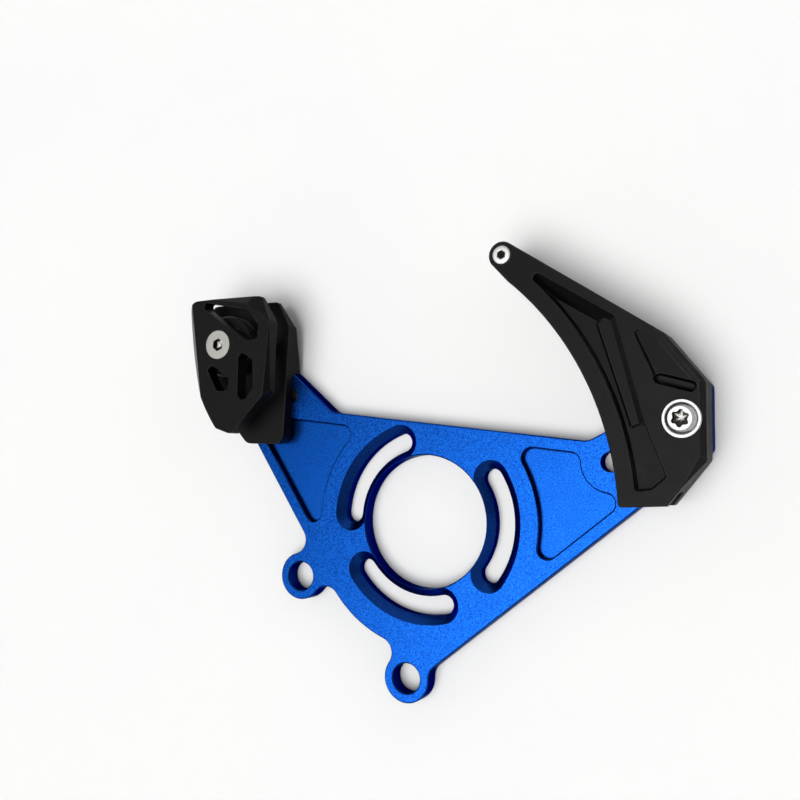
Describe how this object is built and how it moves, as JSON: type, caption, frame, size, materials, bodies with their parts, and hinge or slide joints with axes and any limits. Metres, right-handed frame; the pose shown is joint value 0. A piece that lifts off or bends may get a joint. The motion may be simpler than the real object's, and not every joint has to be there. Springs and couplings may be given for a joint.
{
  "type": "bicycle chain guide",
  "caption": "Bicycle chain guide: slotted backplate with an upper guide shoe and a lower guide with a roller, each sliding along its own slot to suit the chainring.",
  "frame": {"origin": "bottom bracket axis, on the back face of the backplate", "axes": "+Z along the bottom bracket axis towards the drive side, +X across the two lug holes, from the rear lug to the front lug, +Y from the lugs towards the upper guide"},
  "size_m": [0.1763, 0.1484, 0.0246],
  "materials": {
    "anodised_plate": "blue anodised, bead blasted",
    "black_plastic": "moulded, satin black",
    "roller_plastic": "moulded, matte black",
    "bright_steel": "bright plated",
    "plain_steel": "satin stainless",
    "plain_aluminium": "turned"
  },
  "bodies": {
    "plate": {"backplate": "anodised_plate"},
    "upper_carriage": {"upper_guide_outer_shell": "black_plastic", "upper_guide_inner_shell": "black_plastic", "upper_guide_bush": "plain_aluminium", "upper_guide_bolt": "bright_steel", "upper_guide_slot_nut": "plain_steel", "upper_guide_tip_bolt": "bright_steel", "upper_guide_tip_nut": "plain_steel"},
    "lower_carriage": {"lower_guide_outer_plate": "black_plastic", "lower_guide_inner_plate": "black_plastic", "lower_guide_bolt": "plain_steel", "lower_guide_slot_nut": "plain_steel", "lower_guide_sleeve": "plain_aluminium", "bearing_inner_race": "plain_steel", "bearing_balls": "bright_steel", "bearing_cage": "roller_plastic"},
    "roller": {"lower_guide_roller": "roller_plastic", "bearing_outer_race": "plain_steel", "bearing_front_shield": "plain_steel", "bearing_rear_shield": "plain_steel"}
  },
  "joints": [
    {"name": "upper_guide_slide", "type": "slide", "parent": "plate", "child": "upper_carriage", "axis": [0.4462, 0.8949, 0], "range_m": [-0.013, 0.0006]},
    {"name": "lower_guide_slide", "type": "slide", "parent": "plate", "child": "lower_carriage", "axis": [-0.9976, 0.0698, 0], "range_m": [-0.013, 0.0006]},
    {"name": "roller_spin", "type": "hinge", "parent": "lower_carriage", "child": "roller", "pos_m": [-0.0957, 0.0049, 0.0144], "axis": [0, 0, 1], "continuous": true}
  ]
}
